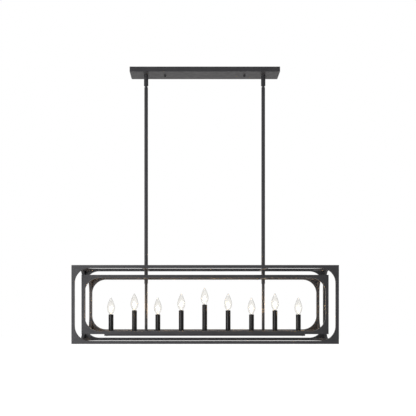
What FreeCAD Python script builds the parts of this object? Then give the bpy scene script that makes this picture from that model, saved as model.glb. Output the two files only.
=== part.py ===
import FreeCAD, Part
import math
import os

# Linear island pendant: two nested open box cages of square bar hang on two stems
# below a long rectangular canopy. A wiring channel along the foot of the inner cage
# carries nine candle lamps that step up towards the middle.
# Frame: origin at the ceiling plane above the canopy's centre, X along the length,
# -Y towards the viewer, Z up. All sizes are in millimetres.

V = FreeCAD.Vector

# ---- cages ----
BAR = 12.7                  # square bar of both cages
CORNER_R = 48.0             # rounded inside corner of every cage opening
CAGE_Z = -1027.0            # height of both cages' centre
OUTER_L = 1118.0
OUTER_W = 330.0
OUTER_H = 330.0
INNER_L = 1045.0
INNER_W = 254.0
INNER_H = 251.0
STRAP_W = 16.0              # cross strap that each stem passes through
STRAP_T = 4.0

# ---- stems and swivels ----
STEM_X = 257.0              # stems stand this far left and right of the centre
STEM_R = 7.95               # upper stem and its collars
LOWER_R = 6.35              # lower stem
THREAD_R = 4.95             # hollow threaded rod that joins the tubes
THREAD_BORE = 2.9
COLLAR_BORE = 5.2
PIVOT_Z = -63.0             # centre of both swivel balls
BALL_R = 8.4
SEAT_R = 8.45
LIP_R = 7.6                 # mouth of the socket below the ball
SOCKET_R = 9.5
SOCKET_END_Z = -68.0
NECK_R = 5.0
STEM_TOP_Z = -74.0
STEP_Z = CAGE_Z + 91.6      # the stem steps down to its thinner part here

# ---- canopy ----
CANOPY_L = 650.0
CANOPY_W = 116.0
CANOPY_H = 21.0
SHEET = 1.2                 # folded sheet steel
STUD_X = 174.0              # canopy studs and their cap nuts
STUD_R = 2.0

# ---- wiring channel ----
CHANNEL_L = 877.0
CHANNEL_W = 36.0
CHANNEL_TOP = CAGE_Z - 114.0
CHANNEL_END = CAGE_Z - 137.0

# ---- candle lamps ----
LAMP_PITCH = 102.8
LAMP_COUNT = 9
SLEEVE_LOW = 70.0           # sleeve heights above the channel
SLEEVE_MID = 88.0
SLEEVE_HIGH = 113.0
SLEEVE_R = 11.0
SLEEVE_BORE = 9.9
SOCKET_BODY_R = 9.4
SOCKET_BODY_H = 44.0
SOCKET_SINK = 4.0           # socket's rim below the sleeve's rim
BASE_R = 5.95               # candelabra screw base
WIRE_R = 1.5

PARTS = {}


def cylinder(radius, z_low, z_high, x=0.0, y=0.0):
    """Upright round bar between two heights."""
    return Part.makeCylinder(radius, z_high - z_low, V(x, y, z_low), V(0, 0, 1))


def box(x0, x1, y0, y1, z0, z1):
    """Square-cornered block between two corners."""
    return Part.makeBox(x1 - x0, y1 - y0, z1 - z0, V(x0, y0, z0))


def turned(points, x=0.0, y=0.0):
    """Solid of revolution about an upright axis from (radius, z) corners."""
    wire = Part.makePolygon([V(r, 0, z) for r, z in points + points[:1]])
    solid = Part.Face(wire).revolve(V(0, 0, 0), V(0, 0, 1), 360)
    solid.translate(V(x, y, 0))
    return solid


def corner_ring(radius, z, sides, x):
    """Corners of a level regular polygon."""
    step = 2 * math.pi / sides
    turns = [step * (i + 0.5) for i in range(sides)]
    return [V(x + radius * math.cos(t), radius * math.sin(t), z) for t in turns]


def faceted(points, sides, x=0.0):
    """Solid of revolution with flat sides, for the many small round pieces that repeat.
    points are the closed (radius, z) outline, and each radius reaches the corners."""
    faces = []
    for (r0, z0), (r1, z1) in zip(points, points[1:] + points[:1]):
        low = corner_ring(r0, z0, sides, x)
        high = corner_ring(r1, z1, sides, x)
        if r0 == 0 and r1 == 0:
            continue
        if z0 == z1 and (r0 == 0 or r1 == 0):
            rim = high if r0 == 0 else low
            faces.append(Part.Face(Part.makePolygon(rim + rim[:1])))
            continue
        for i in range(sides):
            j = (i + 1) % sides
            corners = [low[i], low[j], high[j], high[i]]
            if r1 == 0:
                corners = [low[i], low[j], high[i]]
            faces.append(Part.Face(Part.makePolygon(corners + corners[:1])))
    shell = Part.makeShell(faces)
    shell.sewShape()
    solid = Part.makeSolid(shell)
    if solid.Volume < 0:
        solid.reverse()
    return solid


def bored(shape, radius, z_low, z_high, x, sides=8):
    """Shape with a small bore whose flats lie at the given radius."""
    reach = radius / math.cos(math.pi / sides)
    tool = faceted([(0, z_low), (reach, z_low), (reach, z_high), (0, z_high)], sides, x)
    return shape.cut(tool)


def hexagon(across_flats, thickness, z_low, hole_r, x=0.0, y=0.0):
    """Hex nut standing on z_low with a round hole."""
    reach = across_flats / 2 / math.cos(math.pi / 6)
    corners = []
    for i in range(7):
        turn = math.radians(60 * i)
        corners.append(V(x + reach * math.cos(turn), y + reach * math.sin(turn), z_low))
    body = Part.Face(Part.makePolygon(corners)).extrude(V(0, 0, thickness))
    return bored(body, hole_r, z_low - 1, z_low + thickness + 1, x)


# ---------------------------------------------------------------- cages

def rounded_window(width, height, radius):
    """Face in the XY plane about the origin, with four round corners."""
    a = width / 2
    b = height / 2
    k = radius * (1 - math.sqrt(0.5))
    edges = []
    for sx, sy, turn in ((1, 1, 0), (-1, 1, 1), (-1, -1, 2), (1, -1, 3)):
        start = V(sx * a, sy * (b - radius), 0)
        end = V(sx * (a - radius), sy * b, 0)
        if turn % 2:
            start, end = end, start
        middle = V(sx * (a - k), sy * (b - k), 0)
        edges.append((Part.Arc(start, middle, end).toShape(), start, end))
    loop = []
    for i in range(4):
        arc, start, end = edges[i]
        loop.append(arc)
        loop.append(Part.makeLine(end, edges[(i + 1) % 4][1]))
    return Part.Face(Part.Wire(loop))


def ring_frame(length, height, y_front):
    """Upright frame of square bar, its opening rounded at all four corners."""
    outline = Part.makePlane(length, height, V(-length / 2, -height / 2, 0))
    opening = rounded_window(length - 2 * BAR, height - 2 * BAR, CORNER_R)
    frame = outline.cut(opening).extrude(V(0, 0, BAR))
    frame.rotate(V(0, 0, 0), V(1, 0, 0), 90)
    frame.translate(V(0, y_front + BAR, CAGE_Z))
    return frame


def web(radius, thickness):
    """Corner filler: a square less a quarter round, with its corner at the origin."""
    k = radius * (1 - math.sqrt(0.5))
    arc = Part.Arc(V(radius, 0, 0), V(k, k, 0), V(0, radius, 0)).toShape()
    sides = [Part.makeLine(V(0, 0, 0), V(radius, 0, 0)), arc, Part.makeLine(V(0, radius, 0), V(0, 0, 0))]
    return Part.Face(Part.Wire(sides)).extrude(V(0, 0, thickness))


def end_bar(length, width, height, side, level):
    """Bar along Y between the two ring frames, with a flat web at each end in plan
    and an upright web at each end in the end face. side and level are +1 or -1."""
    x_in = length / 2 - BAR
    y_in = width / 2 - BAR
    z_in = height / 2 - BAR
    bar = box(x_in, x_in + BAR, -y_in, y_in, z_in, z_in + BAR)
    plan = web(CORNER_R, BAR)
    plan.rotate(V(0, 0, 0), V(0, 0, 1), 180)
    plan.translate(V(x_in, y_in, z_in))
    upright = web(CORNER_R, BAR)
    upright.rotate(V(0, 0, 0), V(0, 0, 1), 180)
    upright.rotate(V(0, 0, 0), V(0, 1, 0), 90)
    upright.translate(V(x_in, y_in, z_in))
    if upright.BoundBox.ZMax > z_in + 1:
        upright = upright.mirror(V(0, 0, z_in), V(0, 0, 1))
    pieces = [plan, upright]
    pieces += [piece.mirror(V(0, 0, 0), V(0, 1, 0)) for piece in (plan, upright)]
    solid = bar.fuse(pieces).removeSplitter()
    if side < 0:
        solid = solid.mirror(V(0, 0, 0), V(1, 0, 0))
    if level < 0:
        solid = solid.mirror(V(0, 0, 0), V(0, 0, 1))
    solid.translate(V(0, 0, CAGE_Z))
    return solid


def cage(name, length, width, height):
    """Front and back ring frames and the four bars that join them."""
    PARTS[name + "_front_frame"] = ring_frame(length, height, -width / 2)
    PARTS[name + "_back_frame"] = ring_frame(length, height, width / 2 - BAR)
    for side, word in ((-1, "left"), (1, "right")):
        pair = [end_bar(length, width, height, side, level) for level in (1, -1)]
        PARTS[name + "_" + word + "_end_bars"] = Part.makeCompound(pair)


def strap(width, height, x):
    """Flat cross strap between the top rails, holed for the threaded rod."""
    low = CAGE_Z + height / 2 - BAR
    reach = width / 2 - BAR
    flat = box(x - STRAP_W / 2, x + STRAP_W / 2, -reach, reach, low, low + STRAP_T)
    return bored(flat, THREAD_R, low - 1, low + STRAP_T + 1, x)


# ---------------------------------------------------------------- stems

def swivel_socket(x):
    """Hang-straight swivel: a turned cup under the canopy with a seat for the ball
    and a threaded neck that passes up through the canopy."""
    under = -CANOPY_H
    neck = under + 10
    lip_z = PIVOT_Z - math.sqrt(SEAT_R ** 2 - LIP_R ** 2)
    outer = turned([(0, under), (SOCKET_R, under), (SOCKET_R, SOCKET_END_Z + 1), (SOCKET_R - 1, SOCKET_END_Z),
                    (0, SOCKET_END_Z)])
    seat = Part.makeSphere(SEAT_R, V(0, 0, PIVOT_Z)).common(cylinder(SEAT_R + 1, lip_z, PIVOT_Z))
    well = cylinder(SEAT_R, PIVOT_Z, PIVOT_Z + 16)
    mouth = turned([(0, lip_z), (LIP_R, lip_z), (LIP_R + 0.8, SOCKET_END_Z), (0, SOCKET_END_Z)])
    cup = outer.cut(seat.fuse([well, mouth]))
    cup = cup.fuse(faceted([(0, under), (THREAD_R, under), (THREAD_R, neck), (0, neck)], 8))
    cup = bored(cup, THREAD_BORE, PIVOT_Z + 10, neck + 1, 0, 8)
    cup.translate(V(x, 0, 0))
    return cup


def swivel_ball(x):
    """Ball and threaded shank, bored for the lead."""
    ball = Part.makeSphere(BALL_R, V(0, 0, PIVOT_Z))
    ball = ball.common(cylinder(BALL_R + 1, PIVOT_Z - 12, PIVOT_Z + BALL_R * 0.4))
    shank = cylinder(NECK_R, STEM_TOP_Z - 13, PIVOT_Z - 4)
    piece = bored(ball.fuse(shank), THREAD_BORE, -200, 0, 0, 8)
    piece.translate(V(x, 0, 0))
    return piece


def tube(radius, bore, z_low, z_high, x):
    """Plain round tube."""
    return turned([(bore, z_high), (radius, z_high), (radius, z_low), (bore, z_low)], x)


def collar(z_low, z_high, x):
    """Round collar on the threaded rod."""
    return faceted([(COLLAR_BORE, z_low), (STEM_R, z_low), (STEM_R, z_high), (COLLAR_BORE, z_high)], 20, x)


def rod(z_low, z_high, x):
    """Hollow threaded rod."""
    bore = THREAD_BORE / math.cos(math.pi / 8)
    return faceted([(bore, z_low), (THREAD_R, z_low), (THREAD_R, z_high), (bore, z_high)], 8, x)


def stems():
    """Both stems, from the swivels under the canopy down to the channel."""
    outer_top = CAGE_Z + OUTER_H / 2 - BAR + STRAP_T
    outer_under = CAGE_Z + OUTER_H / 2 - BAR
    inner_top = CAGE_Z + INNER_H / 2 - BAR + STRAP_T
    inner_under = CAGE_Z + INNER_H / 2 - BAR
    foot = CHANNEL_TOP
    spacers = []
    clamps = []
    rods = []
    foot_rods = []
    foot_nuts = []
    canopy_nuts = []
    for x, word in ((-STEM_X, "left"), (STEM_X, "right")):
        PARTS["swivel_socket_" + word] = swivel_socket(x)
        PARTS["swivel_ball_" + word] = swivel_ball(x)
        PARTS["upper_stem_" + word] = tube(STEM_R, NECK_R, outer_top, STEM_TOP_Z, x)
        PARTS["lower_stem_" + word] = tube(LOWER_R, NECK_R, foot, STEP_Z, x)
        PARTS["outer_cross_strap_" + word] = strap(OUTER_W, OUTER_H, x)
        PARTS["inner_cross_strap_" + word] = strap(INNER_W, INNER_H, x)
        spacers.append(collar(inner_top, outer_under, x))
        clamps.append(collar(STEP_Z, inner_under, x))
        rods.append(rod(STEP_Z - 12, outer_top + 12, x))
        foot_rods.append(rod(foot - 11, foot + 12, x))
        foot_nuts.append(hexagon(14.0, 5.0, foot - SHEET - 5.0, THREAD_R, x))
        canopy_nuts.append(hexagon(17.0, 5.0, -CANOPY_H + SHEET, THREAD_R, x))
    PARTS["stem_spacers"] = Part.makeCompound(spacers)
    PARTS["stem_clamp_collars"] = Part.makeCompound(clamps)
    PARTS["stem_joining_rods"] = Part.makeCompound(rods + foot_rods)
    PARTS["channel_lock_nuts"] = foot_nuts
    PARTS["swivel_lock_nuts"] = Part.makeCompound(canopy_nuts)


# ---------------------------------------------------------------- canopy

def canopy():
    """Folded pan against the ceiling, the strap inside it and what holds it up."""
    half_l = CANOPY_L / 2
    half_w = CANOPY_W / 2
    block = box(-half_l, half_l, -half_w, half_w, -CANOPY_H, 0)
    upright = [edge for edge in block.Edges if edge.BoundBox.ZLength > CANOPY_H - 1]
    outer = block.makeFillet(2.5, upright)
    lower = [edge for edge in outer.Edges if edge.BoundBox.ZMax < -CANOPY_H + 1]
    outer = outer.makeChamfer(0.7, lower)
    hollow = box(-half_l + SHEET, half_l - SHEET, -half_w + SHEET, half_w - SHEET, -CANOPY_H + SHEET, 1)
    pan = outer.cut(hollow)
    for x in (-STEM_X, STEM_X):
        pan = bored(pan, THREAD_R, -30, 0, x)
    for x in (-STUD_X, STUD_X):
        pan = bored(pan, STUD_R + 0.4, -30, 0, x)
    PARTS["canopy_pan"] = pan
    PARTS["mounting_bracket"] = mounting_bracket()
    studs = []
    for x, word in ((-STUD_X, "left"), (STUD_X, "right")):
        studs.append(stud(x))
        PARTS["canopy_cap_nut_" + word] = cap_nut(x)
    PARTS["canopy_studs"] = Part.makeCompound(studs)
    PARTS["ground_screw"] = ground_screw()


BRACKET_L = 396.0
BRACKET_W = 26.0
BRACKET_T = 2.0
BRACKET_LIP = 6.0           # stiffening lips along both long sides
BOX_SCREW_SPACING = 88.9    # slots for the outlet box's two screws
SLOT_R = 2.6
SLOT_L = 16.0
GROUND_X = 22.0


def slot(x, length, radius, z_low, z_high):
    """Upright slotted hole along X."""
    run = length / 2 - radius
    middle = box(x - run, x + run, -radius, radius, z_low, z_high)
    ends = [cylinder(radius, z_low, z_high, x - run), cylinder(radius, z_low, z_high, x + run)]
    return middle.fuse(ends).removeSplitter()


def mounting_bracket():
    """Steel strap against the ceiling, with lips turned down along its sides."""
    half_l = BRACKET_L / 2
    half_w = BRACKET_W / 2
    flat = box(-half_l, half_l, -half_w, half_w, -BRACKET_T, 0)
    lips = []
    for y0, y1 in ((-half_w, -half_w + BRACKET_T), (half_w - BRACKET_T, half_w)):
        lips.append(box(-half_l, half_l, y0, y1, -BRACKET_LIP, -BRACKET_T))
    bar = flat.fuse(lips).removeSplitter()
    for x in (-BOX_SCREW_SPACING / 2, BOX_SCREW_SPACING / 2):
        bar = bar.cut(slot(x, SLOT_L, SLOT_R, -10, 1))
    bar = bored(bar, 5.2, -10, 1, 0.0)
    for x in (-STUD_X, STUD_X):
        bar = bored(bar, STUD_R, -10, 1, x)
    return bored(bar, STUD_R, -10, 1, GROUND_X)


def stud(x):
    """Threaded stud hanging from the bracket."""
    end = -CANOPY_H - 4.0
    return faceted([(0, 0), (STUD_R, 0), (STUD_R, end), (0, end)], 8, x)


def cap_nut(x):
    """Turned cap nut under the canopy: a low flange and a domed head."""
    top = -CANOPY_H
    hole = STUD_R + 0.15
    return faceted([(0, top - 5.0), (hole, top - 5.0), (hole, top), (5.4, top), (5.4, top - 1.4), (4.6, top - 2.0),
                    (4.4, top - 5.4), (3.2, top - 7.2), (1.4, top - 8.0), (0, top - 8.0)], 16, x)


def ground_screw():
    """Hex-headed earthing screw in the bracket."""
    head = hexagon(8.0, 3.0, -BRACKET_T - 3.0, 1.0, GROUND_X)
    shank = faceted([(0, -BRACKET_T - 3.0), (STUD_R, -BRACKET_T - 3.0), (STUD_R, 0), (0, 0)], 8, GROUND_X)
    return head.fuse(shank).removeSplitter()


# ---------------------------------------------------------------- channel

def channel():
    """Folded channel, its closing plate underneath, end plates and screws."""
    half_l = CHANNEL_L / 2
    half_w = CHANNEL_W / 2
    low = CHANNEL_END + SHEET
    block = box(-half_l, half_l, -half_w, half_w, low, CHANNEL_TOP)
    folds = [e for e in block.Edges if e.BoundBox.ZMin > CHANNEL_TOP - 1 and e.BoundBox.XLength > CHANNEL_L - 1]
    outer = block.makeFillet(2.0, folds)
    hollow = box(-half_l - 1, half_l + 1, -half_w + SHEET, half_w - SHEET, low - 1, CHANNEL_TOP - SHEET)
    body = outer.cut(hollow)
    body = body.cut(box(-half_l - 1, -half_l + SHEET, -30, 30, low - 1, CHANNEL_TOP + 1))
    body = body.cut(box(half_l - SHEET, half_l + 1, -30, 30, low - 1, CHANNEL_TOP + 1))
    for x in lamp_places() + [-STEM_X, STEM_X]:
        body = bored(body, THREAD_R, CHANNEL_TOP - 5, CHANNEL_TOP + 5, x)
    PARTS["channel_body"] = body
    end = box(0, SHEET, -half_w, half_w, low, CHANNEL_TOP)
    top = [e for e in end.Edges if e.BoundBox.ZMin > CHANNEL_TOP - 1e-6 or e.BoundBox.ZLength > 10]
    corners = [e for e in top if e.BoundBox.XLength > 0.5 and e.BoundBox.ZMin > CHANNEL_TOP - 1e-3]
    end = end.makeFillet(2.0, corners)
    left = end.copy()
    left.translate(V(-half_l, 0, 0))
    right = end.copy()
    right.translate(V(half_l - SHEET, 0, 0))
    PARTS["channel_end_plates"] = Part.makeCompound([left, right])
    cover = box(-half_l, half_l, -half_w, half_w, CHANNEL_END, low)
    inset = half_w - SHEET - 0.2
    lips = []
    for y0, y1 in ((-inset, -inset + SHEET), (inset - SHEET, inset)):
        lips.append(box(-half_l + 6, half_l - 6, y0, y1, low, low + 5))
    cover = cover.fuse(lips).removeSplitter()
    screws = []
    for x in (-half_l + 9, half_l - 9):
        cover = bored(cover, 1.6, CHANNEL_END - 1, low + 1, x)
        screws.append(cover_screw(x))
    PARTS["channel_cover"] = cover
    PARTS["cover_screws"] = Part.makeCompound(screws)


def cover_screw(x):
    """Pan-head screw that holds the cover up to a post under the channel's top."""
    low = CHANNEL_END
    return faceted([(0, low - 1.8), (1.6, low - 1.8), (3.0, low - 0.6), (3.0, low), (1.6, low),
                    (1.6, low + 8), (3.2, low + 8), (3.2, CHANNEL_TOP - SHEET), (0, CHANNEL_TOP - SHEET)], 8, x)


# ---------------------------------------------------------------- lamps

def lamp_places():
    """X of the nine lamps."""
    middle = (LAMP_COUNT - 1) / 2
    return [(i - middle) * LAMP_PITCH for i in range(LAMP_COUNT)]


def sleeve_height(i):
    """Sleeves alternate low and mid, and the middle one is the highest."""
    if i == LAMP_COUNT // 2:
        return SLEEVE_HIGH
    return SLEEVE_LOW if i % 2 == 0 else SLEEVE_MID


def sleeve(x, height):
    """Plain candle tube standing on the channel."""
    z = CHANNEL_TOP
    return faceted([(SLEEVE_BORE, z), (SLEEVE_R, z), (SLEEVE_R, z + height), (SLEEVE_BORE, z + height)], 16, x)


def lamp_socket(x, top):
    """Moulded socket with its well for the screw base, and a threaded cap below."""
    floor = top - 24.0
    low = top - SOCKET_BODY_H
    return faceted([(0, floor), (BASE_R + 0.4, floor), (BASE_R + 0.4, top - 3.5), (BASE_R + 1.8, top),
                    (SOCKET_BODY_R, top), (SOCKET_BODY_R, low), (0, low)], 12, x)


BULB_R = 17.3
GLASS_T = 0.7
GLASS_FOOT = 3.0            # glass starts this far below the sleeve's rim
BULB_TOP = 74.5             # tip of the glass above the sleeve's rim
TIP_FLAT = 0.9              # small flat where the tip was sealed


# half outline of the blown glass: radius at each height above the sleeve's rim
GLASS_NECK_R = 6.2
GLASS_RINGS = 7
INNER_RINGS = 4


def glass_radius(share):
    """Radius of the torpedo glass at a share of its height: it swells quickly from the
    neck to its belly at a third, then tapers in a long ogive to the tip."""
    belly = 0.36
    if share < belly:
        swell = math.sin(math.pi / 2 * share / belly)
        return GLASS_NECK_R + (BULB_R - GLASS_NECK_R) * swell ** 1.4
    fall = (share - belly) / (1 - belly)
    return TIP_FLAT + (BULB_R - TIP_FLAT) * (1 - fall ** 1.75) ** 1.1


def bulb_glass(x, rim):
    """Thin blown envelope, open at its neck where the base holds it."""
    foot = rim - GLASS_FOOT
    height = BULB_TOP + GLASS_FOOT
    outer = []
    for i in range(GLASS_RINGS + 1):
        share = i / GLASS_RINGS
        outer.append((glass_radius(share), foot + height * share))
    inner = []
    for i in range(INNER_RINGS, -1, -1):
        share = i / INNER_RINGS
        inner.append((max(glass_radius(share * 0.97) * 0.93 - GLASS_T, 0.5), foot + (height - 3.0) * share))
    outline = outer + [(0, foot + height), (0, inner[0][1])] + inner
    return faceted(outline, 12, x)


def bulb_base(x, rim):
    """Screw shell, contact tip, glass mount and the lit stem inside the bulb."""
    top = rim - GLASS_FOOT
    return faceted([(0, top - 23.7), (2.4, top - 23.7), (BASE_R, top - 18.5), (BASE_R, top - 3.5),
                    (6.6, top - 2.0), (6.6, top), (3.0, top), (1.6, rim + 14), (1.6, rim + 40), (0, rim + 40)], 8, x)


def lamps():
    """Nine candle lamps: rod, nut, socket, sleeve and bulb."""
    sockets = []
    rods = []
    nuts = []
    sleeves = {"low": [], "mid": [], "high": []}
    for i, x in enumerate(lamp_places()):
        height = sleeve_height(i)
        rim = CHANNEL_TOP + height
        top = rim - SOCKET_SINK
        word = {SLEEVE_LOW: "low", SLEEVE_MID: "mid", SLEEVE_HIGH: "high"}[height]
        sleeves[word].append(sleeve(x, height))
        sockets.append(lamp_socket(x, top))
        rods.append(rod(CHANNEL_TOP - SHEET - 7, top - SOCKET_BODY_H, x))
        nuts.append(hexagon(13.0, 3.5, CHANNEL_TOP - SHEET - 3.5, THREAD_R, x))
        PARTS["bulb_glass_%d" % (i + 1)] = bulb_glass(x, rim)
        PARTS["bulb_base_%d" % (i + 1)] = bulb_base(x, rim)
    PARTS["candle_sleeves_low"] = Part.makeCompound(sleeves["low"])
    PARTS["candle_sleeves_mid"] = Part.makeCompound(sleeves["mid"])
    PARTS["candle_sleeve_centre"] = sleeves["high"][0]
    PARTS["lamp_sockets"] = Part.makeCompound(sockets)
    PARTS["lamp_rods"] = Part.makeCompound(rods)
    PARTS["channel_lock_nuts"] = Part.makeCompound(PARTS["channel_lock_nuts"] + nuts)


# ---------------------------------------------------------------- wiring

TRUNK_Z = CHANNEL_END + 6.5


def lead(length):
    """Straight round lead along Z from the origin."""
    return faceted([(0, 0), (WIRE_R, 0), (WIRE_R, length), (0, length)], 8)


def wiring():
    """Harness along the channel with a lead up into each socket, the leads that come
    down both stems, and the supply leads inside the canopy."""
    reach = lamp_places()[-1]
    trunk = lead(2 * reach + 10)
    trunk.rotate(V(0, 0, 0), V(0, 1, 0), 90)
    trunk.translate(V(-reach - 5, 0, TRUNK_Z))
    leads = [lead(PIVOT_Z - 1 - TRUNK_Z) for x in (-STEM_X, STEM_X)]
    leads[0].translate(V(-STEM_X, 0, TRUNK_Z))
    leads[1].translate(V(STEM_X, 0, TRUNK_Z))
    for i, x in enumerate(lamp_places()):
        socket_low = CHANNEL_TOP + sleeve_height(i) - SOCKET_SINK - SOCKET_BODY_H
        branch = lead(socket_low - TRUNK_Z)
        branch.translate(V(x, 0, TRUNK_Z))
        leads.append(branch)
    PARTS["channel_wiring"] = trunk.fuse(leads)
    supply = []
    for side in (-1, 1):
        rise = lead(45 + LEAD_Z + WIRE_R)
        rise.translate(V(side * STEM_X, 0, -45))
        start = V(side * STEM_X, 0, LEAD_Z)
        run = V(side * 14.0, -24.0, LEAD_Z) - start
        along = lead(run.Length)
        along.rotate(V(0, 0, 0), V(0, 1, 0), 90)
        along.rotate(V(0, 0, 0), V(0, 0, 1), math.degrees(math.atan2(run.y, run.x)))
        along.translate(start)
        supply.append(rise.fuse(along))
    PARTS["supply_leads"] = Part.makeCompound(supply)


LEAD_Z = -8.6


def write_parts():
    """One file for each named piece."""
    os.makedirs("parts", exist_ok=True)
    for name, shape in PARTS.items():
        shape.exportStep("parts/%s.step" % name)


cage("outer", OUTER_L, OUTER_W, OUTER_H)
cage("inner", INNER_L, INNER_W, INNER_H)
stems()
canopy()
channel()
lamps()
wiring()
write_parts()
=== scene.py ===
import math

import bmesh
import bpy
from mathutils import Matrix, Vector

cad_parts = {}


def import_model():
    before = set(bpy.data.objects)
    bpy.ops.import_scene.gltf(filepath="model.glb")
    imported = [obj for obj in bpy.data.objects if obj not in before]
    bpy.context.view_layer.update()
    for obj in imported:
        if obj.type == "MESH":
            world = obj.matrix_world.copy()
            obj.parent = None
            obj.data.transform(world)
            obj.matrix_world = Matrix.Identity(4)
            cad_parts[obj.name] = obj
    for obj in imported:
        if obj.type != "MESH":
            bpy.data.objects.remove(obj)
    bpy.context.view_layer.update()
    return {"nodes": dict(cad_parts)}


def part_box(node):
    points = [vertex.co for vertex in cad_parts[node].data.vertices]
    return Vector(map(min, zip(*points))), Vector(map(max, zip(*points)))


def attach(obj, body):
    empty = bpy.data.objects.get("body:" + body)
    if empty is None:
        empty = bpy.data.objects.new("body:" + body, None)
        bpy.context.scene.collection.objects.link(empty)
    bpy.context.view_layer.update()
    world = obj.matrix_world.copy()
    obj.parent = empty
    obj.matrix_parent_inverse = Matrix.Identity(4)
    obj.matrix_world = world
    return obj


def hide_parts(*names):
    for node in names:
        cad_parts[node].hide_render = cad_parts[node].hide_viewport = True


# Linear island pendant: two nested open box cages on two stems, with nine candle lamps.
# Everything is in metres in the frame's own axes: X along the length, -Y to the front,
# Z up from the ceiling plane. Outlines of turned pieces are written in millimetres.

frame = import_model()

MM = 0.001
ROUND = 48                  # sides of a turned piece
SHARP = math.radians(32)    # edges sharper than this stay crisp
SIDES = (-1, 1)


# ---------------------------------------------------------------- node helpers

# places of a Mix node's colour sockets
MIX_SHARE, MIX_FIRST, MIX_SECOND = 0, 6, 7
MIX_RESULT = 2


def new_material(name):
    """New material, its node tree and its Principled shader."""
    material = bpy.data.materials.new(name)
    material.use_nodes = True
    tree = material.node_tree
    shader = tree.nodes["Principled BSDF"]
    return material, tree, shader


def add(tree, kind, **inputs):
    """Node of a kind with its input sockets set by name."""
    node = tree.nodes.new(kind)
    for name, value in inputs.items():
        node.inputs[name.replace("_", " ")].default_value = value
    return node


def link(tree, start, end):
    """Link from one socket to another."""
    tree.links.new(start, end)


def noise(tree, scale, detail=2.0):
    """Noise in the object's own space, in metres."""
    place = tree.nodes.new("ShaderNodeTexCoord")
    node = add(tree, "ShaderNodeTexNoise", Scale=scale, Detail=detail)
    link(tree, place.outputs["Object"], node.inputs["Vector"])
    return node.outputs["Fac"]


def spread(tree, value, low, high, start=0.3, end=0.7):
    """Value stretched from start..end to low..high."""
    node = add(tree, "ShaderNodeMapRange", From_Min=start, From_Max=end, To_Min=low, To_Max=high)
    link(tree, value, node.inputs["Value"])
    return node.outputs["Result"]


def share_of(tree, value, start=0.3, end=0.7):
    """Value stretched from start..end to 0..1."""
    return spread(tree, value, 0.0, 1.0, start, end)


def mix(tree, share, first, second):
    """Colour between two colours, each a tuple or a socket."""
    node = tree.nodes.new("ShaderNodeMix")
    node.data_type = "RGBA"
    link(tree, share, node.inputs[MIX_SHARE])
    for place, value in ((MIX_FIRST, first), (MIX_SECOND, second)):
        if isinstance(value, tuple):
            node.inputs[place].default_value = (*value, 1.0)
        else:
            link(tree, value, node.inputs[place])
    return node.outputs[MIX_RESULT]


def bump(tree, shader, height, strength, distance):
    """Bump on a shader from a height."""
    node = add(tree, "ShaderNodeBump", Strength=strength, Distance=distance)
    link(tree, height, node.inputs["Height"])
    link(tree, node.outputs["Normal"], shader.inputs["Normal"])


def edge_mask(tree, radius):
    """One along sharp edges and zero on flat faces, from how far a rounded normal turns."""
    rounded = tree.nodes.new("ShaderNodeBevel")
    rounded.samples = 6
    rounded.inputs["Radius"].default_value = radius
    geometry = tree.nodes.new("ShaderNodeNewGeometry")
    dot = tree.nodes.new("ShaderNodeVectorMath")
    dot.operation = "DOT_PRODUCT"
    link(tree, rounded.outputs["Normal"], dot.inputs[0])
    link(tree, geometry.outputs["Normal"], dot.inputs[1])
    return spread(tree, dot.outputs["Value"], low=1.0, high=0.0, start=0.75, end=0.99)


def join(tree, operation, first, second):
    """Math node's result from two values."""
    node = tree.nodes.new("ShaderNodeMath")
    node.operation = operation
    link(tree, first, node.inputs[0])
    link(tree, second, node.inputs[1])
    return node.outputs["Value"]


# ---------------------------------------------------------------- materials

def powder_coat(name, dark, light, low_rough, high_rough, gloss):
    """Satin black powder coat: fine orange peel, faint mottling, edges rubbed a little."""
    rubbed = (0.070, 0.068, 0.066)
    material, tree, shader = new_material(name)
    mottle = share_of(tree, noise(tree, scale=14.0, detail=3.0))
    base = mix(tree, mottle, dark, light)
    fleck = share_of(tree, noise(tree, scale=260.0), start=0.45, end=0.62)
    worn = join(tree, "MULTIPLY", edge_mask(tree, radius=0.0008), fleck)
    link(tree, mix(tree, worn, base, rubbed), shader.inputs["Base Color"])
    rough = spread(tree, noise(tree, scale=45.0, detail=3.0), low_rough, high_rough)
    link(tree, rough, shader.inputs["Roughness"])
    shader.inputs["Specular IOR Level"].default_value = gloss
    bump(tree, shader, noise(tree, scale=1100.0), strength=0.10, distance=0.0002)
    return material


def zinc():
    """Zinc-plated steel: light grey with soft spangle and a fine grain."""
    dull = (0.50, 0.50, 0.51)
    bright = (0.66, 0.66, 0.66)
    material, tree, shader = new_material("zinc_plate")
    spangle = share_of(tree, noise(tree, scale=120.0, detail=4.0))
    link(tree, mix(tree, spangle, dull, bright), shader.inputs["Base Color"])
    shader.inputs["Metallic"].default_value = 1.0
    rough = spread(tree, noise(tree, scale=500.0, detail=3.0), 0.28, 0.45)
    link(tree, rough, shader.inputs["Roughness"])
    bump(tree, shader, noise(tree, scale=1800.0, detail=3.0), strength=0.08, distance=0.0002)
    return material


def pale_brass():
    """Pale brass of screw shells and leads, with a few darker marks from turning."""
    dull = (0.62, 0.52, 0.34)
    bright = (0.78, 0.70, 0.52)
    material, tree, shader = new_material("pale_brass")
    mark = share_of(tree, noise(tree, scale=400.0, detail=3.0))
    link(tree, mix(tree, mark, dull, bright), shader.inputs["Base Color"])
    shader.inputs["Metallic"].default_value = 1.0
    rough = spread(tree, noise(tree, scale=900.0), 0.22, 0.38)
    link(tree, rough, shader.inputs["Roughness"])
    bump(tree, shader, noise(tree, scale=2500.0), strength=0.06, distance=0.0001)
    return material


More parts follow.
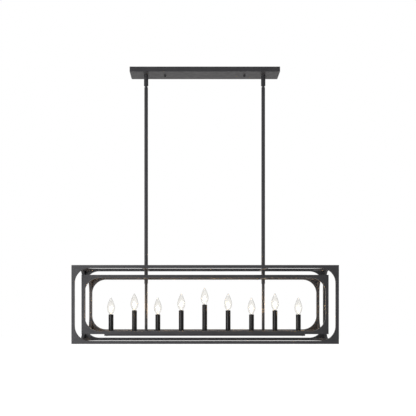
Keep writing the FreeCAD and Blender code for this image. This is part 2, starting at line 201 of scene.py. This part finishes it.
def plastic(name, dark, light, low_rough, high_rough):
    """Moulded or lacquered material with faint mottling and a fine grain."""
    material, tree, shader = new_material(name)
    mottle = share_of(tree, noise(tree, scale=90.0, detail=3.0))
    link(tree, mix(tree, mottle, dark, light), shader.inputs["Base Color"])
    rough = spread(tree, noise(tree, scale=300.0), low_rough, high_rough)
    link(tree, rough, shader.inputs["Roughness"])
    bump(tree, shader, noise(tree, scale=2200.0), strength=0.15, distance=0.0002)
    return material


def lit_wall(tree, shader):
    """Faint warm shine of a bulb's wall near the object's own zero, where its light is."""
    full_glow = 0.035
    full_within = 0.012
    none_beyond = 0.034
    place = tree.nodes.new("ShaderNodeTexCoord")
    reach = tree.nodes.new("ShaderNodeVectorMath")
    reach.operation = "LENGTH"
    link(tree, place.outputs["Object"], reach.inputs[0])
    near = spread(tree, reach.outputs["Value"], full_glow, 0.0, full_within, none_beyond)
    link(tree, near, shader.inputs["Emission Strength"])
    shader.inputs["Emission Color"].default_value = (1.0, 0.90, 0.74, 1.0)


def clear_glass():
    """Clear blown glass, a little wavy, with painted grey shade where it is seen edge-on."""
    clear = (0.915, 0.908, 0.892)
    thicker = (0.900, 0.893, 0.876)
    edge = (0.34, 0.335, 0.325)
    material, tree, shader = new_material("blown_clear_glass")
    # painted shade: the base colour turns grey where the wall is seen edge-on, standing in for
    # the dark rims of clear glass
    weight = add(tree, "ShaderNodeLayerWeight", Blend=0.5)
    grey = share_of(tree, weight.outputs["Facing"], start=0.30, end=0.90)
    body = mix(tree, share_of(tree, noise(tree, scale=30.0)), clear, thicker)
    link(tree, mix(tree, grey, body, edge), shader.inputs["Base Color"])
    shader.inputs["Roughness"].default_value = 0.01
    shader.inputs["Transmission Weight"].default_value = 1.0
    shader.inputs["IOR"].default_value = 1.45
    bump(tree, shader, noise(tree, scale=25.0, detail=1.0), strength=0.02, distance=0.0005)
    lit_wall(tree, shader)
    return material


def hot_filament():
    """Glowing tungsten, with hotter and cooler spots along its coils."""
    cooler = (1.0, 0.60, 0.22)
    hotter = (1.0, 0.78, 0.45)
    material, tree, shader = new_material("glowing_filament")
    heat = share_of(tree, noise(tree, scale=1500.0))
    link(tree, mix(tree, heat, cooler, hotter), shader.inputs["Emission Color"])
    shader.inputs["Emission Strength"].default_value = 6.0
    shader.inputs["Base Color"].default_value = (0.3, 0.25, 0.2, 1.0)
    return material


# the finish of each material slot in the record
FINISH = {
    "black_powder_coat": powder_coat(
        "satin_black_coat", dark=(0.027, 0.0265, 0.029), light=(0.034, 0.0335, 0.036),
        low_rough=0.40, high_rough=0.50, gloss=0.13),
    "zinc_steel": zinc(),
    "green_screw": plastic(
        "green_lacquer", dark=(0.035, 0.22, 0.07), light=(0.05, 0.30, 0.10),
        low_rough=0.25, high_rough=0.38),
    "black_phenolic": plastic(
        "black_phenolic_moulding", dark=(0.016, 0.015, 0.015), light=(0.028, 0.026, 0.025),
        low_rough=0.42, high_rough=0.55),
    "wire_insulation": plastic(
        "black_lead_sheath", dark=(0.020, 0.020, 0.021), light=(0.034, 0.034, 0.035),
        low_rough=0.40, high_rough=0.52),
    "bulb_glass": clear_glass(),
    "nickel_base": pale_brass(),
}
FILAMENT = hot_filament()
CANDLE_COAT = powder_coat(
    "smooth_black_coat", dark=(0.0065, 0.006, 0.0065), light=(0.009, 0.0085, 0.009),
    low_rough=0.20, high_rough=0.26, gloss=0.11)


def dress_frame():
    """Every CAD node gets the detailed finish of its own slot."""
    for node in frame["nodes"].values():
        for holder in node.material_slots:
            holder.material = FINISH[holder.material.name.split(".")[0]]


# ---------------------------------------------------------------- turned pieces

def ring_of(mesh, x, radius, height, sides):
    """Points of one round of a turned body, or its single point on the axis."""
    if radius == 0:
        return [mesh.verts.new((x, 0, height * MM))]
    ring = []
    for i in range(sides):
        turn = 2 * math.pi * i / sides
        across = radius * MM
        spot = (x + across * math.cos(turn), across * math.sin(turn), height * MM)
        ring.append(mesh.verts.new(spot))
    return ring


def turn_into(mesh, outline, x, sides=ROUND):
    """Adds a body turned about an upright axis at x. outline is closed, as (radius, height)
    in millimetres."""
    rings = [ring_of(mesh, x, radius, height, sides) for radius, height in outline]
    for low, high in zip(rings, rings[1:] + rings[:1]):
        for i in range(sides):
            j = i + 1
            corners = [low[i % len(low)], low[j % len(low)],
                       high[j % len(high)], high[i % len(high)]]
            unique = list(dict.fromkeys(corners))
            if len(unique) > 2:
                mesh.faces.new(unique)


def finish_piece(name, mesh, slot, body, replaced=(), material=None, origin=None):
    """Object from a mesh under work: shaded, finished, and riding on its body. origin is
    where the object's own zero goes; the surface stays where it is."""
    bmesh.ops.recalc_face_normals(mesh, faces=mesh.faces)
    data = bpy.data.meshes.new(name)
    mesh.to_mesh(data)
    mesh.free()
    if origin:
        data.transform(Matrix.Translation(-Vector(origin)))
    data.shade_smooth()
    data.set_sharp_from_angle(angle=SHARP)
    data.materials.append(material or FINISH[slot])
    piece = bpy.data.objects.new(name, data)
    piece.location = origin or (0, 0, 0)
    bpy.context.scene.collection.objects.link(piece)
    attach(piece, body)
    if replaced:
        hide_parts(*replaced)
    return piece


def turned_piece(name, turnings, slot, body, replaced=(), material=None, sides=ROUND,
                 origin=None):
    """One piece of one or more turned bodies, each an (outline, x)."""
    mesh = bmesh.new()
    for outline, x in turnings:
        turn_into(mesh, outline, x, sides)
    return finish_piece(name, mesh, slot, body, replaced, material, origin)


def arc(centre_r, centre_z, radius, start, end, steps):
    """Points of an arc in an outline, angles in degrees from outward to upward."""
    points = []
    for i in range(steps + 1):
        turn = math.radians(start + (end - start) * i / steps)
        points.append((centre_r + radius * math.cos(turn), centre_z + radius * math.sin(turn)))
    return points


def smooth_line(points, steps):
    """Catmull-Rom curve through the points."""
    padded = [points[0]] + points + [points[-1]]
    curve = []
    for i in range(1, len(padded) - 2):
        before, a, b, after = (Vector(p) for p in padded[i - 1:i + 3])
        for k in range(steps):
            t = k / steps
            spot = 2 * a + (b - before) * t
            spot += (2 * before - 5 * a + 4 * b - after) * t ** 2
            spot += (3 * a - before - 3 * b + after) * t ** 3
            curve.append(tuple(spot / 2))
    curve.append(tuple(points[-1]))
    return curve


def node_box_mm(node):
    """Lowest and highest corner of a node in millimetres."""
    low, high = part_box(node)
    return low / MM, high / MM


# ---------------------------------------------------------------- cages

BAR = 12.7 * MM             # square bar of both cages
CORNER = 62.0 * MM          # rounded inside corner of every opening
EASE = 0.2 * MM             # eased edge of the bar
ARC_STEPS = 16              # even, so that one point of a square loop falls on its corner
BEVELLED = math.radians(50)     # end bar edges sharper than this are eased


def loop(half_x, half_z, radius, square):
    """Rounded rectangle, or the square-cornered one whose points face it one by one."""
    points = []
    for quarter, (sx, sz) in enumerate(((1, 1), (-1, 1), (-1, -1), (1, -1))):
        for i in range(ARC_STEPS + 1):
            turn = math.pi / 2 * (quarter + i / ARC_STEPS)
            c, s = math.cos(turn), math.sin(turn)
            reach = radius / max(abs(c), abs(s)) if square else radius
            points.append((sx * (half_x - radius) + reach * c,
                           sz * (half_z - radius) + reach * s))
    return points


def ring_frame(name, node):
    """Upright frame of square bar with round corners in its opening and eased edges."""
    low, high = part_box(node)
    half_x = (high.x - low.x) / 2
    half_z = (high.z - low.z) / 2
    centre_z = (high.z + low.z) / 2
    open_x = half_x - BAR
    open_z = half_z - BAR
    front, back = low.y, high.y
    loops = [(half_x, half_z, CORNER, True, front + EASE),
             (half_x - EASE, half_z - EASE, CORNER, True, front),
             (open_x + EASE, open_z + EASE, CORNER + EASE, False, front),
             (open_x, open_z, CORNER, False, front + EASE),
             (open_x, open_z, CORNER, False, back - EASE),
             (open_x + EASE, open_z + EASE, CORNER + EASE, False, back),
             (half_x - EASE, half_z - EASE, CORNER, True, back),
             (half_x, half_z, CORNER, True, back - EASE)]
    mesh = bmesh.new()
    rings = []
    for wide, tall, radius, square, y in loops:
        outline = loop(wide, tall, radius, square)
        rings.append([mesh.verts.new((x, y, centre_z + z)) for x, z in outline])
    for first, second in zip(rings, rings[1:] + rings[:1]):
        for i in range(len(first)):
            j = (i + 1) % len(first)
            mesh.faces.new((first[i], first[j], second[j], second[i]))
    finish_piece(name, mesh, "black_powder_coat", "fixture", (node,))


def prism(points, place):
    """Temporary object: a flat outline carried between two levels. place(a, b, far) gives
    the spot of an outline point at the near or far level."""
    mesh = bmesh.new()
    near = [mesh.verts.new(place(a, b, False)) for a, b in points]
    far = [mesh.verts.new(place(a, b, True)) for a, b in points]
    mesh.faces.new(near)
    mesh.faces.new(far)
    for i in range(len(points)):
        j = (i + 1) % len(points)
        mesh.faces.new((near[i], near[j], far[j], far[i]))
    bmesh.ops.recalc_face_normals(mesh, faces=mesh.faces)
    data = bpy.data.meshes.new("prism")
    mesh.to_mesh(data)
    mesh.free()
    solid = bpy.data.objects.new("prism", data)
    bpy.context.scene.collection.objects.link(solid)
    return solid


def welded(solids):
    """Mesh under work of several temporary solids as one body, with eased edges."""
    base = solids[0]
    for other in solids[1:]:
        weld = base.modifiers.new("weld", "BOOLEAN")
        weld.operation = "UNION"
        weld.solver = "EXACT"
        weld.object = other
    ease = base.modifiers.new("ease", "BEVEL")
    ease.width = EASE
    ease.segments = 1
    ease.limit_method = "ANGLE"
    ease.angle_limit = BEVELLED
    bpy.context.view_layer.update()
    shape = base.evaluated_get(bpy.context.evaluated_depsgraph_get())
    mesh = bmesh.new()
    mesh.from_mesh(shape.to_mesh())
    shape.to_mesh_clear()
    for solid in solids:
        bpy.data.objects.remove(solid)
    return mesh


def corner_arc():
    """Hollow quarter round of a corner, from (CORNER, 0) to (0, CORNER)."""
    points = []
    for i in range(ARC_STEPS + 1):
        turn = math.pi / 2 * i / ARC_STEPS
        points.append((CORNER - CORNER * math.sin(turn), CORNER - CORNER * math.cos(turn)))
    return points


def end_bar(x_in, y_in, z_in, side, level, centre_z):
    """Bar between the two ring frames with round webs in plan and in the end face."""
    def in_plan(x, y, far):
        return side * x, y, centre_z + level * (z_in + (BAR if far else 0))

    def in_end_face(y, z, far):
        return side * (x_in + (BAR if far else 0)), y, centre_z + level * z

    plan = [(x_in + BAR, -y_in), (x_in + BAR, y_in)]
    plan += [(x_in - a, y_in - b) for a, b in corner_arc()]
    plan += [(x_in - a, b - y_in) for a, b in reversed(corner_arc())]
    solids = [prism(plan, in_plan)]
    sunk = z_in + BAR / 2
    for hand in SIDES:
        web = [(hand * y_in, sunk), (hand * (y_in - CORNER), sunk)]
        web += [(hand * (y_in - a), z_in - b) for a, b in corner_arc()]
        solids.append(prism(web, in_end_face))
    return welded(solids)


def end_bars(name, node, width):
    """Upper and lower bar of one cage end."""
    low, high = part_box(node)
    side = 1 if high.x > 0 else -1
    x_in = max(abs(low.x), abs(high.x)) - BAR
    z_in = (high.z - low.z) / 2 - BAR
    centre_z = (high.z + low.z) / 2
    whole = bmesh.new()
    for level in SIDES:
        bar = end_bar(x_in, width / 2 - BAR, z_in, side, level, centre_z)
        data = bpy.data.meshes.new("bar")
        bar.to_mesh(data)
        bar.free()
        whole.from_mesh(data)
        bpy.data.meshes.remove(data)
    finish_piece(name, whole, "black_powder_coat", "fixture", (node,))


def cages():
    """Both cages, each of two ring frames and two pairs of end bars."""
    for cage in ("outer", "inner"):
        for place in ("front", "back"):
            ring_frame("%s_%s_ring" % (cage, place), "%s_%s_frame" % (cage, place))
        width = 2 * abs(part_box(cage + "_front_frame")[0].y)
        for side in ("left", "right"):
            end_bars("%s_%s_end" % (cage, side), "%s_%s_end_bars" % (cage, side), width)


# ---------------------------------------------------------------- candles

LAMPS = 9
LOW_LAMPS = (1, 3, 7, 9)
MID_LAMPS = (2, 4, 6, 8)
CENTRE_LAMP = (5,)
GLASS_FOOT = 3.0            # the glass starts this far below the candle's rim
CANDLE_RADIUS = 11.0
CANDLE_BORE = 9.9


def lamp_place(number):
    """X in metres and height of the candle's rim in millimetres."""
    low, high = node_box_mm("bulb_glass_%d" % number)
    return (low.x + high.x) / 2 * MM, low.z + GLASS_FOOT


def candle_outline(foot, rim):
    """Plain tube with a softened rim and a small shadow gap at its foot."""
    soft = 0.45
    gap = CANDLE_RADIUS - 0.5
    return ([(CANDLE_BORE, foot), (gap, foot), (gap, foot + 0.5), (CANDLE_RADIUS, foot + 0.9)]
            + arc(CANDLE_RADIUS - soft, rim - soft, soft, 0, 90, steps=4)
            + arc(CANDLE_BORE + soft, rim - soft, soft, 90, 180, steps=4))


def candles():
    """The nine black candle tubes."""
    groups = (("candle_sleeves_low", LOW_LAMPS), ("candle_sleeves_mid", MID_LAMPS),
              ("candle_sleeve_centre", CENTRE_LAMP))
    for node, numbers in groups:
        foot = node_box_mm(node)[0].z
        turnings = []
        for number in numbers:
            x, rim = lamp_place(number)
            turnings.append((candle_outline(foot, rim), x))
        turned_piece(node.replace("sleeve", "tube"), turnings, "black_powder_coat", "fixture",
                     (node,), CANDLE_COAT)


def socket_outline(rim):
    """Moulded lamp socket: a flared mouth, a well for the screw base and three grips."""
    body = 9.4
    groove = 9.0
    well = 6.35
    top = rim - 4.0
    floor = top - 24.0
    low = top - 44.0
    outline = [(0, floor), (well, floor), (well, top - 3.5), (7.75, top - 0.4), (8.1, top),
               (groove, top), (body, top - 0.4)]
    for grip in range(3):
        z = top - 8.0 - grip * 5.0
        outline += [(body, z), (groove, z - 0.6), (groove, z - 1.6), (body, z - 2.2)]
    return outline + [(body, low + 1.0), (8.4, low), (0, low)]


def lamp_sockets():
    """Nine sockets, sunk in the candles."""
    turnings = []
    for number in range(1, LAMPS + 1):
        x, rim = lamp_place(number)
        turnings.append((socket_outline(rim), x))
    turned_piece("socket_mouldings", turnings, "black_phenolic", "fixture", ("lamp_sockets",))


# ---------------------------------------------------------------- bulbs

# torpedo envelope: (radius, height above the candle's rim)
ENVELOPE = [(6.2, -3.0), (8.3, 2.5), (11.6, 8.5), (15.4, 17.0), (17.3, 29.0), (15.9, 41.0),
            (11.9, 53.0), (8.2, 62.0), (4.6, 69.5), (2.0, 73.0)]
TIP = 74.5
WALL = 0.7
THICK_FROM = 60.0           # above this the glass is thicker, towards its tip
MOUNT_SIDES = 24

HOT_Z = 26.0                # middle of the light, above the candle's rim
FILAMENT_Z = 24.0           # foot of the filament's arch
FILAMENT_HALF = 4.6         # half of its span between the leads
FILAMENT_ARCH = 5.0
COILS = 14
COIL_STEPS = 10
COIL_RADIUS = 0.75
WIRE_RADIUS = 0.22


def glass_outline(rim):
    """Closed outline of the thin envelope with its drawn-out tip, open at the neck."""
    outer = smooth_line(ENVELOPE, 4) + [(1.1, 74.1), (0, TIP)]
    inner = []
    for r, z in smooth_line(ENVELOPE[:-1], 3):
        inner.append((max(r - WALL, 0.9), z + (0.0 if z < THICK_FROM else 0.6)))
    inner.append((0, inner[-1][1] + 1.4))
    return [(r, rim + z) for r, z in outer + inner[::-1]]


def base_outline(rim):
    """Candelabra screw shell: rolled thread, smooth collar, solder tip on its insulator."""
    pitch = 2.55
    root, crest = 5.45, 5.95
    flank = 5.8
    top = rim - GLASS_FOOT
    outline = [(0, top - 23.7), (1.6, top - 23.6), (2.3, top - 23.0), (2.5, top - 22.2),
               (3.4, top - 21.4), (5.2, top - 19.0), (5.5, top - 18.0)]
    for turn in range(5):
        z = top - 17.6 + turn * pitch
        outline += [(root, z), (flank, z + pitch * 0.25), (crest, z + pitch * 0.5),
                    (flank, z + pitch * 0.75)]
    return outline + [(5.6, top - 4.4), (5.7, top - 3.4), (6.5, top - 2.4), (6.6, top - 1.8),
                      (6.6, top - 0.3), (6.4, top), (0, top)]


def mount_outline(rim):
    """Glass mount inside the bulb: a flared foot drawn up into a pinched stem."""
    foot = rim - GLASS_FOOT + 0.3
    profile = [(0, 0), (4.6, 0), (4.4, 1.0), (3.0, 3.6), (2.1, 8.0), (1.9, 13.0),
               (2.2, 15.5), (2.0, 17.2), (1.2, 18.4), (0, 18.8)]
    return [(r, foot + z) for r, z in profile]


def wire(name, runs, material, body):
    """Round wires through the given points in millimetres."""
    data = bpy.data.curves.new(name, "CURVE")
    data.dimensions = "3D"
    data.bevel_depth = WIRE_RADIUS * MM
    data.bevel_resolution = 2
    data.use_fill_caps = True
    for points in runs:
        line = data.splines.new("POLY")
        line.points.add(len(points) - 1)
        for point, spot in zip(line.points, points):
            point.co = (spot[0] * MM, spot[1] * MM, spot[2] * MM, 1.0)
    data.materials.append(material)
    piece = bpy.data.objects.new(name, data)
    bpy.context.scene.collection.objects.link(piece)
    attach(piece, body)


def lead_runs(x, rim):
    """Two leads that spread from the mount to the filament's ends, and its middle support.
    x is in millimetres."""
    spreading = ((0.9, 13.0), (1.3, 16.5), (4.2, 22.0), (FILAMENT_HALF, 24.6))
    runs = []
    for side in SIDES:
        runs.append([(x + side * out, 0, rim + up) for out, up in spreading])
    runs.append([(x, 0, rim + 15.0), (x, 0, rim + 28.6)])
    return runs


def filament_run(x, rim):
    """Coiled filament strung in a low arch between its two leads. x is in millimetres."""
    points = []
    steps = COILS * COIL_STEPS
    for i in range(steps + 1):
        share = i / steps
        turn = 2 * math.pi * COILS * share
        arch = FILAMENT_ARCH * math.sin(math.pi * share)
        points.append((x - FILAMENT_HALF + 2 * FILAMENT_HALF * share,
                       COIL_RADIUS * math.cos(turn),
                       rim + FILAMENT_Z + arch + COIL_RADIUS * math.sin(turn)))
    return points


def glow(name, place, body):
    """Small warm light where a filament hangs."""
    data = bpy.data.lights.new(name, "POINT")
    data.energy = 0.6
    data.color = (1.0, 0.62, 0.30)
    data.shadow_soft_size = 0.007
    lamp = bpy.data.objects.new(name, data)
    lamp.location = place
    bpy.context.scene.collection.objects.link(lamp)
    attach(lamp, body)


def bulb(number):
    """One lit lamp: envelope, screw base, glass mount, leads, filament and its light."""
    x, rim = lamp_place(number)
    body = "bulb_%d" % number
    tag = "_%d" % number
    hot = (x, 0, (rim + HOT_Z) * MM)
    glass = turned_piece("envelope" + tag, [(glass_outline(rim), x)], "bulb_glass", body,
                         ("bulb_glass" + tag,), origin=hot)
    turned_piece("screw_base" + tag, [(base_outline(rim), x)], "nickel_base", body,
                 ("bulb_base" + tag,))
    mount = turned_piece("glass_mount" + tag, [(mount_outline(rim), x)], "bulb_glass", body,
                         sides=MOUNT_SIDES, origin=hot)
    for clear in (glass, mount):
        clear.visible_shadow = False
    wire("leads" + tag, lead_runs(x / MM, rim), FINISH["nickel_base"], body)
    wire("filament" + tag, [filament_run(x / MM, rim)], FILAMENT, body)
    glow("glow" + tag, hot, body)


# ---------------------------------------------------------------- small turned hardware

COLLAR_RADIUS = 7.95
COLLAR_BORE = 5.2
STUD_RADIUS = 2.0
STUD_SIDES = 20


def collar_outline(low, high):
    """Plain collar with softened edges."""
    soft = 0.35
    inside = COLLAR_RADIUS - soft
    return [(COLLAR_BORE, low), (inside, low), (COLLAR_RADIUS, low + soft),
            (COLLAR_RADIUS, high - soft), (inside, high), (COLLAR_BORE, high)]


def collars():
    """Spacers between the cages and clamp collars below the inner cage."""
    for node in ("stem_spacers", "stem_clamp_collars"):
        low, high = node_box_mm(node)
        radius = (high.y - low.y) / 2
        stem_x = ((high.x - low.x) / 2 - radius) * MM
        outline = collar_outline(low.z, high.z)
        turnings = [(outline, side * stem_x) for side in SIDES]
        turned_piece("turned_" + node, turnings, "black_powder_coat", "fixture", (node,))


def cap_nut_outline(top):
    """Cap nut: flange against the canopy, waist, straight grip and a low dome."""
    profile = [(0, 5.0), (2.15, 5.0), (2.15, 0), (5.2, 0), (5.4, 0.2), (5.4, 1.2),
               (5.1, 1.6), (4.5, 1.9), (4.4, 2.3), (4.6, 2.7), (4.6, 5.2)]
    dome = arc(2.1, top - 5.5, 2.5, 0, -84, steps=7)
    return [(r, top - down) for r, down in profile] + dome + [(0, top - 8.0)]


def cap_nuts():
    """Two cap nuts under the canopy."""
    for side in ("left", "right"):
        node = "canopy_cap_nut_" + side
        low, high = node_box_mm(node)
        x = (low.x + high.x) / 2 * MM
        turned_piece("domed_nut_" + side, [(cap_nut_outline(high.z), x)], "black_powder_coat",
                     "cap_nut_" + side, (node,))


def stud_outline(low, high):
    """Machine-threaded stud: shallow rolled threads from end to end."""
    pitch = 0.8
    root = STUD_RADIUS - 0.3
    end = STUD_RADIUS - 0.4
    outline = [(0, low), (end, low)]
    for turn in range(int((high - low - 0.6) / pitch)):
        z = low + 0.3 + turn * pitch
        outline += [(root, z), (STUD_RADIUS, z + pitch / 2)]
    return outline + [(root, high - 0.1), (end, high), (0, high)]


def studs():
    """Two threaded studs through the canopy."""
    low, high = node_box_mm("canopy_studs")
    nut_low, nut_high = node_box_mm("canopy_cap_nut_right")
    stud_x = (nut_low.x + nut_high.x) / 2 * MM
    outline = stud_outline(low.z, high.z)
    turnings = [(outline, side * stud_x) for side in SIDES]
    turned_piece("threaded_studs", turnings, "zinc_steel", "canopy", ("canopy_studs",),
                 sides=STUD_SIDES)


# ---------------------------------------------------------------- stage

FLOOR_Z = -1.78
FLOOR_HALF = 14.0
AMBIENT = 0.30              # the world's light on the object
FLOOR_LIFT = 0.60           # brings the pale floor to white for sight rays


def white_to_sight(tree):
    """One for a ray from the camera, from a glossy surface or through glass."""
    path = tree.nodes.new("ShaderNodeLightPath")
    total = path.outputs["Is Camera Ray"]
    for name in ("Is Glossy Ray", "Is Transmission Ray"):
        total = join(tree, "MAXIMUM", total, path.outputs[name])
    return total


def world():
    """White to the eye, and a plain soft grey as light on the object."""
    studio = bpy.data.worlds.new("studio")
    bpy.context.scene.world = studio
    studio.use_nodes = True
    tree = studio.node_tree
    background = tree.nodes["Background"]
    background.inputs["Color"].default_value = (1.0, 1.0, 1.0, 1.0)
    strength = spread(tree, white_to_sight(tree), AMBIENT, 1.0, start=0.0, end=1.0)
    link(tree, strength, background.inputs["Strength"])


def pale_floor():
    """Pale matt floor that reaches white for sight rays and keeps the object's shadow."""
    darker = (0.80, 0.80, 0.80)
    lighter = (0.81, 0.81, 0.81)
    material, tree, shader = new_material("pale_floor")
    shader.inputs["Roughness"].default_value = 0.9
    shader.inputs["Specular IOR Level"].default_value = 0.0
    cloud = share_of(tree, noise(tree, scale=3.0))
    link(tree, mix(tree, cloud, darker, lighter), shader.inputs["Base Color"])
    shader.inputs["Emission Color"].default_value = (1.0, 1.0, 1.0, 1.0)
    lift = spread(tree, white_to_sight(tree), 0.0, FLOOR_LIFT, start=0.0, end=1.0)
    link(tree, lift, shader.inputs["Emission Strength"])
    return material


def floor():
    """Plain square floor under the object."""
    quarters = ((-1, -1), (1, -1), (1, 1), (-1, 1))
    corners = [(sx * FLOOR_HALF, sy * FLOOR_HALF, FLOOR_Z) for sx, sy in quarters]
    data = bpy.data.meshes.new("floor")
    data.from_pydata(corners, [], [(0, 1, 2, 3)])
    ground = bpy.data.objects.new("floor", data)
    bpy.context.scene.collection.objects.link(ground)
    data.materials.append(pale_floor())


def sun(name, strength, azimuth, elevation, angle):
    """Soft distant light from an azimuth (0 in front, positive to the right) and elevation."""
    data = bpy.data.lights.new(name, "SUN")
    data.energy = strength
    data.angle = math.radians(angle)
    lamp = bpy.data.objects.new(name, data)
    side = math.radians(azimuth)
    rise = math.radians(elevation)
    level = math.cos(rise)
    towards = Vector((math.sin(side) * level, -math.cos(side) * level, math.sin(rise)))
    lamp.rotation_euler = towards.to_track_quat("Z", "Y").to_euler()
    bpy.context.scene.collection.objects.link(lamp)


def softbox(name, power, size, place, target):
    """Square soft light at a place, turned to a target."""
    data = bpy.data.lights.new(name, "AREA")
    data.energy = power
    data.size = size
    lamp = bpy.data.objects.new(name, data)
    lamp.location = place
    away = Vector(place) - Vector(target)
    lamp.rotation_euler = away.to_track_quat("Z", "Y").to_euler()
    bpy.context.scene.collection.objects.link(lamp)


def lights():
    """Soft key from the front left, and a weak light from above that grounds the object."""
    softbox("key", power=66.0, size=1.3, place=(-1.5, -2.4, -0.95), target=(-0.1, 0.0, -1.0))
    sun("top", strength=1.0, azimuth=-25.0, elevation=62.0, angle=35.0)


# ---------------------------------------------------------------- camera

PICTURE = 416               # side of the photograph in pixels
FOCAL_PX = 775.0
SENSOR = 36.0
EYE_X = -0.044
EYE_Y = -3.403
EYE_Z = -1.027              # level with the cages' centre
VANISH_PX_X = 194.65        # where the level line of sight meets the photograph
VANISH_PX_Y = 304.5
FAR_LIMIT = 60.0


def camera():
    """Level camera straight in front, shifted as the photograph's framing needs."""
    data = bpy.data.cameras.new("photo_camera")
    data.sensor_width = SENSOR
    data.sensor_fit = "HORIZONTAL"
    data.lens = FOCAL_PX / PICTURE * SENSOR
    data.shift_x = (PICTURE / 2 - VANISH_PX_X) / PICTURE
    data.shift_y = (VANISH_PX_Y - PICTURE / 2) / PICTURE
    data.clip_end = FAR_LIMIT
    eye = bpy.data.objects.new("photo_camera", data)
    eye.location = (EYE_X, EYE_Y, EYE_Z)
    eye.rotation_euler = (math.radians(90), 0, 0)
    bpy.context.scene.collection.objects.link(eye)
    bpy.context.scene.camera = eye


dress_frame()
cages()
candles()
lamp_sockets()
for lamp_number in range(1, LAMPS + 1):
    bulb(lamp_number)
collars()
cap_nuts()
studs()
world()
floor()
lights()
camera()
bpy.context.scene.view_settings.view_transform = "Standard"
bpy.context.view_layer.update()
